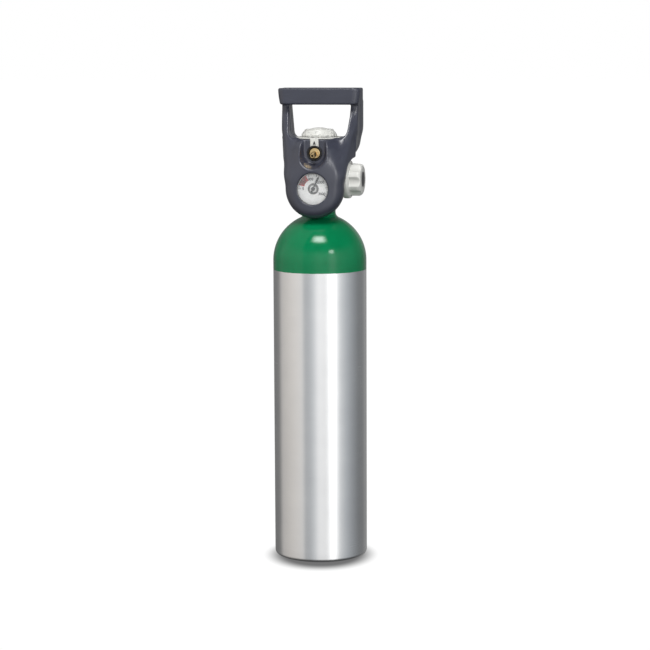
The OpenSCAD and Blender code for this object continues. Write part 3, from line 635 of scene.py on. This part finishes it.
# Distance to the cover's skin in millimetres, less than 0 in the plastic. z is the height above the neck face.
def coverDistance(w):
    e = coverRounds
    position = w["Wall"].node("GeometryNodeInputPosition")
    split = position.node("ShaderNodeSeparateXYZ", None, {"Vector": position})
    x, y = split.pick("X") / mm, split.pick("Y") / mm
    z = split.pick("Z") / mm - w["Neck face"]
    ax = abs(x)

    # The chest: round below the gauge, wider above it, with a front that bows back to the deck.
    rise = z - w["Gauge height"]
    up = higher(rise, 0)
    growth = up * up / (up * up + 19 ** 2) * 6
    side = away(ax, lower(rise, 0)) - (w["Chest radius"] + growth)
    bowZ = higher(z - 38, 0)
    front = x * x * (0.0045 + ramp(z, 30, 60) * 0.006) + bowZ * bowZ * (0.0042 + ramp(ax, 14, 30) * 0.006)
    front = front - w["Chest front"] - y
    chest = roundBoth(side, front, e["chest"] + e["chestAbove"] * ramp(z, 33, 67))
    flare = higher(ax - 28, 0)
    top = z - (w["Deck height"] + flare * flare * 0.006)
    chest = roundBoth(chest, top, e["deck"])
    hollow = chest + w["Wall"]

    # The frame: two posts round the opening, wider at the rear, and shoulders below them.
    outline = w["Frame width"] + (w["Post width"] - w["Frame width"]) * ramp(z, 74, 90)
    outline = outline + ramp(y, 2, 26) * ramp(z, 66, 96) * 2.4
    outside = roundBoth(ax - outline, 53 - z, e["frameFoot"])
    inner = w["Opening width"] + clamped((z - 87) / 34.5, 0, 1) * 2.9
    aboveDeck = w["Deck height"] - z
    opening = roundBoth(ax - inner, aboveDeck, e["opening"])
    slab = abs(y - 15.8) - 11.8
    frameBody = roundBoth(smoothBoth(outside, -opening, 1), slab, e["frame"])
    frameBody = higher(frameBody, z - 123)
    shoulders = higher(roundBoth(outside, abs(y - 13.8) - 13.8, e["shoulders"]), -aboveDeck)

    # A web runs from each post down to the chest, narrower and lower towards the front.
    webSide = ax - (outline - clamped((4 - y) / 44, 0, 1) * 13)
    webFront = ((z - 62) - (y + 26) * 1.8) * 0.486
    webOpening = roundBoth(ax - inner, aboveDeck, e["webOpening"])
    web = smoothBoth(roundBoth(webSide, webFront, e["web"]), -webOpening, 3)
    web = roundBoth(higher(web, y - 10), 46 - z, e["webFoot"])
    chest = smoothUnion(chest, web, e["webBlend"])
    body = smoothUnion(higher(chest, y - 4), smoothUnion(frameBody, shoulders, 2), e["frameBlend"])

    # The carrying bar: in front its ends draw in towards the bottom.
    lean = (138 - z) / 19.5
    barSide = ax - (w["Bar half width"] - lean * lean * 2.4 * (1 - ramp(y, 4, 20)))
    barPlan = roundBoth(barSide, abs(y - 10.6) - w["Bar depth"] / 2, e["barPlan"])
    bar = roundBoth(barPlan, abs(z - w["Bar height"]) - w["Bar half height"], e["bar"])
    body = smoothUnion(body, bar, e["barBlend"])

    # The inside is hollow up to the deck, with a scoop in front, pads and screw bosses.
    hollowChest = higher(hollow, y - 5)
    hollowFrame = higher(higher(outside + w["Wall"], abs(y - 13.8) - 11), z - (w["Deck height"] - w["Wall"]))
    shell = smoothBoth(body, -lower(hollowChest, hollowFrame), e["inside"])
    aboveOutlet = z - w["Scoop height"]
    bowl = away(x, lower(aboveOutlet, 0)) - (w["Scoop radius"] + (-28 - y) * 0.4)
    scoop = smoothBoth(bowl, y + 28, e["scoopBowl"])
    backing = higher(chest, scoop - 2.6)
    plateX, plateY = coverScrews["plate"]
    lowX, lowZ = coverScrews["low"]
    highX, highZ = coverScrews["high"]
    plateScrew = away(ax - plateX, y - plateY)
    lowScrew = away(ax - lowX, z - lowZ)
    pads = root((ax - plateX) * (ax - plateX) + 0.01) - 4.5
    pads = higher(higher(pads, abs(y + 32.5) - 10.5), abs(z - 18) - 4)
    pads = higher(pads, chest)
    bosses = lower(higher(lowScrew - 3.9, abs(y - 13.5) - 12.5), higher(plateScrew - 4.2, abs(z - 18) - 4))
    shell = lower(smoothUnion(shell, backing, 1), lower(pads, higher(bosses, body)))

    # Cut away: the underside, a round clearance at each side, and what is past the frame at the rear.
    low = higher(-22 - y, z - 18.4)
    disc = away(y, z - 31.4) - 25.5
    behind = higher(0.2 - y, -outside - 0.4)
    cuts = smoothUnion(smoothUnion(low, disc, 5), behind, 3)
    shell = roundBoth(shell, -cuts, e["rim"])
    shell = roundBoth(shell, -scoop, e["scoop"])

    # Holes: the gauge window, the outlet, the well of the flow knob, the notch of the tab, and the screws.
    window = higher(away(x, rise) - w["Gauge hole"], y + 24)
    shell = roundBoth(shell, -window, e["window"])
    outlet = higher(away(x, aboveOutlet) - w["Outlet hole"], y + 18)
    well = higher(away(x, y) - w["Deck hole"], 67 - z)
    well = higher(well, z - 91)
    notch = higher(higher(ax - 5.2, abs(y + 25.5) - 5), 70 - z)
    shell = roundBoth(shell, -lower(lower(outlet, well), notch), e["holes"])
    plateHole = higher(plateScrew - 1.55, abs(z - 16.5) - 5)
    screws = lower(away(ax - highX, z - highZ), lowScrew)
    bore = lower(higher(screws - 1.55, 4.5 - y), higher(screws - 3.15, 23.6 - y))
    return higher(shell, -lower(plateHole, bore)), y


def coverTree(name, frontHalf, material):
    corners = {word + " " + axis: 0.0 for word in ("Low", "High") for axis in "XYZ"}
    tree, w = geometryTree(name, {**coverSizes, **corners, "Voxel": 0.9})
    distance, y = coverDistance(w)
    half = y - w["Seam"] if frontHalf else w["Seam"] + 0.06 - y
    distance = roundBoth(distance, half, coverRounds["seam"])

    def corner(word):
        x, yy, z = (w[word + " " + axis] * mm for axis in "XYZ")
        return x.node("ShaderNodeCombineXYZ", None, {"X": x, "Y": yy, "Z": z})

    def cells(axis):
        return maths("ROUND", (w["High " + axis] - w["Low " + axis]) / w["Voxel"])

    cloud = distance.node("GeometryNodeVolumeCube", None,
                          {"Density": -distance, "Background": -5.0, "Min": corner("Low"), "Max": corner("High"),
                           "Resolution X": cells("X"), "Resolution Y": cells("Y"), "Resolution Z": cells("Z")})
    skin = cloud.node("GeometryNodeVolumeToMesh", {"resolution_mode": "GRID"},
                      {"Volume": cloud, "Threshold": 0.0})
    normal = skin.node("GeometryNodeInputNormal")
    for limit in (0.5, 0.25, 0.15):  # three steps move each point onto the true skin
        step = clamped(-distance, -limit, limit) * mm
        offset = step.node("ShaderNodeVectorMath", {"operation": "SCALE"}, {0: normal, 3: step})
        skin = skin.node("GeometryNodeSetPosition", None, {"Geometry": skin, "Offset": offset})
    smooth = skin.node("GeometryNodeSetShadeSmooth", None, {"Geometry": skin})
    endTree(smooth, material)
    return tree


# The box in which each half is meshed, in millimetres.
coverParts = {
    "frontCoverShell": {"node": "front_cover", "front": True,
                        "low": (-51.2, -44.2, 407.0), "high": (51.2, 14.6, 561.6)},
    "rearCoverShell": {"node": "rear_cover", "front": False,
                       "low": (-51.2, 13.4, 473.0), "high": (51.2, 28.8, 561.6)},
}


def makeCovers():
    for name, s in coverParts.items():
        sizes = {**coverSizes, "Voxel": 0.9}
        for word, spot in (("Low", s["low"]), ("High", s["high"])):
            sizes.update({word + " " + axis: value for axis, value in zip("XYZ", spot)})
        obj = grow(name, coverTree(name + "Tree", s["front"], looks["cover_plastic"]), sizes)
        tidyMesh(obj, 180, 0.01 * mm, False)
        hang(obj, "root", "cover_plastic", s["node"])
        print(name, "has", len(obj.data.polygons), "faces")


makeCovers()


# Nodes that keep their shape get smooth shading and a small bevel on a copy, so that edges catch the light.
# Widths in millimetres.
bevelled = {
    "hose_barb": 0.25, "outlet_grommet": 0.3, "index_collar": 0.35, "gauge_case": 0.3, "fill_port": 0.35,
    "fill_cap": 0.3, "relief_plug": 0.3, "mounting_plate": 0.3, "valve_body": 0.35, "regulator_cap": 0.3,
    "shutoff_bonnet": 0.35, "cover_screws": 0.15, "plate_screws": 0.15, "gauge_pointer": 0.06, "gauge_dial": 0.05,
    "cap_screws": 0.12,
}


def bevelNode(node, width):
    source = frame["nodes"][node]
    obj = bpy.data.objects.new(node + "Finished", source.data.copy())
    bpy.context.scene.collection.objects.link(obj)
    bm = bmesh.new()
    bm.from_mesh(obj.data)
    bmesh.ops.remove_doubles(bm, verts=bm.verts, dist=0.004 * mm)
    bmesh.ops.dissolve_limit(bm, angle_limit=math.radians(0.6), verts=bm.verts, edges=bm.edges)
    sharp = [e for e in bm.edges if len(e.link_faces) == 2 and e.calc_face_angle(0) > math.radians(33)]
    bmesh.ops.bevel(bm, geom=sharp, offset=width * mm, segments=2, profile=0.6, affect="EDGES",
                    clamp_overlap=True)
    for face in bm.faces:
        face.smooth = True
    bm.to_mesh(obj.data)
    bm.free()
    obj.data.set_sharp_from_angle(angle=math.radians(45))
    obj.data.materials.clear()
    obj.data.materials.append(looks[slotOf[node]])
    return hang(obj, bodyOf[node], slotOf[node], node)


for node, width in bevelled.items():
    bevelNode(node, width)
for node, obj in frame["nodes"].items():
    obj.data.materials.clear()
    obj.data.materials.append(looks[slotOf[node]])
print("frame nodes finished")


# A thin plate from flat outlines, with its back at height 0.
def flatMesh(name, shapes, depth, material):
    mesh = bpy.data.meshes.new(name)
    bm = bmesh.new()
    for shape in shapes:
        bm.faces.new([bm.verts.new((x * mm, y * mm, 0)) for x, y in shape])
    made = bmesh.ops.extrude_face_region(bm, geom=bm.faces[:])
    lifted = [v for v in made["geom"] if isinstance(v, bmesh.types.BMVert)]
    bmesh.ops.translate(bm, verts=lifted, vec=(0, 0, depth * mm))
    bmesh.ops.recalc_face_normals(bm, faces=bm.faces)
    bm.to_mesh(mesh)
    bm.free()
    mesh.materials.append(material)
    obj = bpy.data.objects.new(name, mesh)
    bpy.context.scene.collection.objects.link(obj)
    return obj


def numberMesh(text, size, depth, bolder=0.0):
    curve = bpy.data.curves.new("number", "FONT")
    curve.body = text
    curve.size = size * mm
    curve.align_x = "CENTER"
    curve.align_y = "CENTER"
    curve.extrude = depth * mm / 2
    curve.offset = bolder * mm
    curve.resolution_u = 3
    holder = bpy.data.objects.new("number", curve)
    bpy.context.scene.collection.objects.link(holder)
    graph = bpy.context.evaluated_depsgraph_get()
    mesh = bpy.data.meshes.new_from_object(holder.evaluated_get(graph))
    bpy.data.objects.remove(holder)
    return mesh


def joinMeshes(name, meshes, material):
    bm = bmesh.new()
    for mesh in meshes:
        bm.from_mesh(mesh)
    bmesh.ops.remove_doubles(bm, verts=bm.verts, dist=0.001 * mm)
    bmesh.ops.recalc_face_normals(bm, faces=bm.faces)
    result = bpy.data.meshes.new(name)
    bm.to_mesh(result)
    bm.free()
    result.materials.clear()
    result.materials.append(material)
    for polygon in result.polygons:
        polygon.material_index = 0
    obj = bpy.data.objects.new(name, result)
    bpy.context.scene.collection.objects.link(obj)
    return obj


# Bars on a circle, clockwise from straight up, by instancing one flat box.
def tickTree(name, material):
    sizes = {"Count": 10, "Start": 0.0, "End": 1.0, "Radius": 0.01, "Length": 0.002, "Width": 0.0004,
             "Depth": 0.0001}
    tree, w = geometryTree(name, sizes)
    box = w["Width"].node("ShaderNodeCombineXYZ", None, {"X": w["Width"], "Y": w["Length"], "Z": w["Depth"]})
    bar = box.node("GeometryNodeMeshCube", None, {"Size": box})
    row = box.node("GeometryNodeMeshLine", None, {"Count": w["Count"]})
    index = row.node("GeometryNodeInputIndex")
    turn = w["Start"] + (w["End"] - w["Start"]) * (index / higher(w["Count"] - 1, 1))
    reach = w["Radius"] - w["Length"] / 2
    place = turn.node("ShaderNodeCombineXYZ", None,
                      {"X": reach * maths("SINE", turn), "Y": reach * maths("COSINE", turn), "Z": w["Depth"] / 2})
    spots = row.node("GeometryNodeSetPosition", None, {"Geometry": row, "Position": place})
    tilt = turn.node("ShaderNodeCombineXYZ", None, {"Z": -turn})
    bars = spots.node("GeometryNodeInstanceOnPoints", None, {"Points": spots, "Instance": bar, "Rotation": tilt})
    endTree(bars, material)
    return tree


def ring(inner, outer, start, end, steps):
    shapes = []
    for i in range(steps):
        a, b = (math.radians(start + (end - start) * (i + k) / steps) for k in (0, 1))
        corners = ((inner, a), (outer, a), (outer, b), (inner, b))
        shapes.append([(r * math.sin(t), r * math.cos(t)) for r, t in corners])
    return shapes


def makeDial():
    s = gauge
    onDial = facing @ Matrix.Translation((0, 0, (s["dialFront"] + 0.01) * mm))
    start, end = math.radians(s["scaleStart"]), math.radians(s["scaleEnd"])
    black = extraLooks["dialBlack"]
    for name, count, length, width in (("dialMajorTicks", s["majorTicks"], 3.0, 0.55),
                                       ("dialMinorTicks", s["minorTicks"], 1.5, 0.26)):
        sizes = {"Count": count, "Start": start, "End": end, "Radius": s["tickRadius"] * mm,
                 "Length": length * mm, "Width": width * mm, "Depth": 0.12 * mm}
        ticks = grow(name, tickTree(name + "Tree", black), sizes)
        ticks.data.transform(onDial)
        hang(ticks, "root", "dial")
    numbers = s["numbers"].split()
    out = s["numberRadius"] * mm
    meshes = []
    for i, text in enumerate(numbers):
        turn = start + (end - start) * i / (len(numbers) - 1)
        mesh = numberMesh(text, s["numberSize"], 0.1, s["numberBolder"])
        mesh.transform(Matrix.Translation((out * math.sin(turn), out * math.cos(turn), 0.08 * mm)))
        meshes.append(mesh)
    numbersPiece = joinMeshes("dialNumbers", meshes, black)
    numbersPiece.data.transform(onDial)
    hang(numbersPiece, "root", "dial")
    for name, radii, a, b, steps, depth, look in (
            ("dialRedZone", s["redRadii"], s["redFrom"], s["redTo"], 24, 0.14, "dialRed"),
            # A flat grey ring round the dial's hub.
            ("dialHubRing", s["hubRadii"], 0, 360, 64, 0.06, "dialGrey"),
            ("dialScaleArc", s["arcRadii"], s["scaleStart"] - 2, s["scaleEnd"] + 2, 64, 0.06, "dialBlack")):
        band = flatMesh(name, ring(*radii, a, b, steps), depth, extraLooks[look])
        tidyMesh(band, 30, 0.001 * mm)
        band.data.transform(onDial)
        hang(band, "root", "dial")


def makeKnobNumbers():
    s = flowKnob
    slope = math.atan2(s["shoulderAt"] - s["skirtTop"], s["skirt"] - s["shoulder"])
    upright = Matrix.Rotation(slope, 4, "X")
    out, up = s["numberSpot"]
    outward = Matrix.Translation((0, -out * mm, (s["base"] + up) * mm))
    meshes = []
    texts = s["numbers"].split()
    for i, text in enumerate(texts):
        mesh = numberMesh(text, s["numberSize"], s["numberDepth"])
        mesh.transform(Matrix.Rotation(math.tau * i / len(texts), 4, "Z") @ outward @ upright)
        meshes.append(mesh)
    obj = joinMeshes("flowKnobNumbers", meshes, extraLooks["numberGrey"])
    hang(obj, "flow_knob", "knob_plastic")


indexArrow = {"halfWidth": 1.9, "height": 4.3, "depth": 0.12, "front": 28.28, "foot": 494.9}


def makeIndexArrow():
    s = indexArrow
    outline = [(-s["halfWidth"], 0), (s["halfWidth"], 0), (0, s["height"])]
    arrow = flatMesh("indexArrow", [outline], s["depth"], extraLooks["dialBlack"])
    spot = Matrix.Translation((0, -s["front"] * mm, s["foot"] * mm))
    arrow.data.transform(spot @ Matrix.Rotation(math.pi / 2, 4, "X"))
    hang(arrow, "root", "pointer")


def makePointerBlade():
    s = gauge
    obj = flatMesh("pointerBlade", [s["blade"][::-1]], s["bladeDepth"], looks["pointer"])
    turn = Matrix.Rotation(math.radians(-s["restAngle"]), 4, "Z")
    obj.data.transform(facing @ Matrix.Translation((0, 0, (s["dialFront"] + s["bladeLift"]) * mm)) @ turn)
    hang(obj, "pointer", "pointer")


makeDial()
makePointerBlade()
makeKnobNumbers()
makeIndexArrow()
print("marks placed")


# The floor's colour has a painted soft elliptical shadow that reaches towards the camera, and painted shade where the
# foot touches.
floorLook = {
    "halfSize": 30.0,     # metres
    "shadowHalfWidth": 68, "shadowHalfDepth": 80, "shadowForward": 12, "shadowFade": (0.64, 1.06),
    "contactReach": 0.02, "contactFade": (0.05, 0.45),
    "dark": (0.165, 0.165, 0.167), "pale": (1.0, 1.0, 1.0), "strength": 1.02,
}


# How far a place or a direction runs to the camera's right, and how far towards the camera.
def turnedToCamera(x, y):
    azimuth = math.radians(studio["azimuth"])
    return x * math.cos(azimuth) + y * math.sin(azimuth), x * math.sin(azimuth) - y * math.cos(azimuth)


def makeFloor():
    s = floorLook
    mesh = bpy.data.meshes.new("studioFloor")
    half = s["halfSize"]
    mesh.from_pydata([(-half, -half, 0), (half, -half, 0), (half, half, 0), (-half, half, 0)], [], [(0, 1, 2, 3)])
    floor = bpy.data.objects.new("studioFloor", mesh)
    bpy.context.scene.collection.objects.link(floor)
    material = bpy.data.materials.new("paleFloor")
    material.use_nodes = True
    tree = material.node_tree
    tree.nodes.clear()
    start = Wire(tree)
    contact = start.node("ShaderNodeAmbientOcclusion", {"samples": 8}, {"Distance": s["contactReach"]}, "AO")
    place = start.node("ShaderNodeTexCoord", None, None, "Object")
    split = place.node("ShaderNodeSeparateXYZ", None, {"Vector": place})
    across, toward = turnedToCamera(split.pick("X") / mm, split.pick("Y") / mm)
    reach = away(across / s["shadowHalfWidth"], (toward - s["shadowForward"]) / s["shadowHalfDepth"])
    # Painted shadow: the floor's colour goes dark inside the ellipse and where ambient occlusion finds the foot.
    light = lower(ramp(reach, *s["shadowFade"]), ramp(contact, *s["contactFade"]))
    tone = mixed(light, s["dark"], s["pale"])
    glow = start.node("ShaderNodeEmission", None, {"Color": tone, "Strength": s["strength"]})
    end = tree.nodes.new("ShaderNodeOutputMaterial")
    tree.links.new(glow.socket, end.inputs["Surface"])
    mesh.materials.append(material)
    floor.visible_glossy = False
    floor.visible_diffuse = False


# Bands are (azimuth, value, warmth) of the sky round the object, and azimuth 0 is at the camera. Lengths are in
# metres, angles in degrees, the lens in millimetres.
studio = {
    "azimuth": 12.0,      # of the camera, and of the sky that turns with it
    "distance": 2.370, "height": 0.612, "pitch": 8.02, "lens": 110.7, "roll": 0.0043, "yaw": 0.140,
    "bands": [(-180, 0.20, 0), (-150, 0.17, 0), (-124, 0.20, 0.3), (-116, 0.36, 0.6), (-110, 0.49, 0.8),
              (-95, 0.545, 1.0), (-80, 0.61, 1.0), (-60, 0.69, 0.8), (-48, 0.715, 0.5), (-44.5, 0.73, 0.3),
              (-40.5, 0.45, -0.4), (-36, 0.47, -0.5), (-28, 0.48, -0.5), (-16, 0.65, -0.5), (-6, 0.93, 0),
              (4, 0.93, 0), (13, 0.87, 0), (20, 1.05, 0), (26, 1.60, 0), (36, 1.60, 0), (42, 1.0, 0), (47, 0.76, -0.3),
              (56, 0.62, -0.5), (67, 0.49, -0.9), (80, 0.37, -0.9), (95, 0.27, -0.9), (109, 0.20, -0.6),
              (128, 0.20, -0.3), (150, 0.30, 0), (180, 0.20, 0)],
    "high": [(-180, 0.15), (-150, 0.30), (-100, 0.42), (-52, 0.42), (-44, 0.07), (60, 0.05), (120, 0.08),
             (180, 0.15)],
    "below": 0.22, "overhead": 0.9,
    "bandTop": 2.2,       # brightest value that the bands may reach
    "skyStrength": 1.12,
    "key": {"azimuth": -3, "elevation": 57, "halfWide": 13, "halfHigh": 8, "strength": 24},
    "fill": {"azimuth": 31, "elevation": 24, "halfWide": 6, "halfHigh": 4, "strength": 14},
}


def makeWorld():
    s = studio
    world = bpy.data.worlds.new("studio")
    bpy.context.scene.world = world
    world.use_nodes = True
    tree = world.node_tree
    tree.nodes.clear()
    start = Wire(tree)
    aim = start.node("ShaderNodeTexCoord", None, None, "Generated")
    split = aim.node("ShaderNodeSeparateXYZ", None, {"Vector": aim})
    across, toward = turnedToCamera(split.pick("X"), split.pick("Y"))
    turn = maths("ARCTAN2", across, toward) / math.tau + 0.5
    level = maths("ARCSINE", split.pick("Z")) / math.radians(1)
    top = s["bandTop"]
    stops = [((a + 180) / 360, (v / top * (1 + 0.05 * warm), v / top, v / top * (1 - 0.05 * warm)))
             for a, v, warm in s["bands"]]
    bands = turn.node("ShaderNodeValToRGB", {"stops": stops}, {"Fac": turn})
    highStops = [((a + 180) / 360, v / top) for a, v in s["high"]]
    dome = turn.node("ShaderNodeValToRGB", {"stops": highStops}, {"Fac": turn})
    sky = mixed(ramp(level, -62, -28), (s["below"] / top,) * 3, bands)
    sky = mixed(ramp(level, 14, 34), sky, dome)
    sky = mixed(ramp(level, 74, 84), sky, (s["overhead"] / top,) * 3)
    tall = 1 + clamped(level + 10, -34, 16) * 0.02  # a little brighter upwards
    boxes = softBox(across, toward, level, s["key"]) + softBox(across, toward, level, s["fill"])
    glow = start.node("ShaderNodeBackground", None, {"Color": sky, "Strength": tall * top * s["skyStrength"]})
    white = start.node("ShaderNodeBackground", None, {"Color": (1, 1, 1, 1), "Strength": boxes})
    lit = start.node("ShaderNodeAddShader", None, {0: glow, 1: white})
    plain = start.node("ShaderNodeBackground", None, {"Color": (1, 1, 1, 1), "Strength": 1.0})
    seen = start.node("ShaderNodeLightPath", None, None, "Is Camera Ray")
    both = start.node("ShaderNodeMixShader", None, {0: seen, 1: lit, 2: plain})
    end = tree.nodes.new("ShaderNodeOutputWorld")
    tree.links.new(both.socket, end.inputs["Surface"])


# Strength of a soft-edged patch of the sky.
def softBox(across, toward, level, box):
    turn = maths("ARCTAN2", across, toward) / math.radians(1) - box["azimuth"]
    wide = abs(turn) * math.cos(math.radians(box["elevation"]))
    tall = abs(level - box["elevation"])
    insideWide = 1 - ramp(wide, box["halfWide"] * 0.3, box["halfWide"] * 1.5)
    insideTall = 1 - ramp(tall, box["halfHigh"] * 0.3, box["halfHigh"] * 1.5)
    return insideWide * insideTall * box["strength"]


def makeCamera():
    s = studio
    data = bpy.data.cameras.new("camera")
    camera = bpy.data.objects.new("camera", data)
    bpy.context.scene.collection.objects.link(camera)
    turn = math.radians(s["azimuth"])
    camera.location = (s["distance"] * math.sin(turn), -s["distance"] * math.cos(turn), s["height"])
    pan = Matrix.Rotation(turn + math.radians(-s["yaw"]), 4, "Z")
    tip = Matrix.Rotation(math.radians(90 - s["pitch"]), 4, "X")
    lean = Matrix.Rotation(-s["roll"], 4, "Z")
    camera.rotation_euler = (pan @ tip @ lean).to_euler()
    data.sensor_width = 36
    data.lens = s["lens"]
    bpy.context.scene.camera = camera


makeFloor()
makeWorld()
makeCamera()
bpy.context.scene.view_settings.view_transform = "Standard"
print("studio ready")
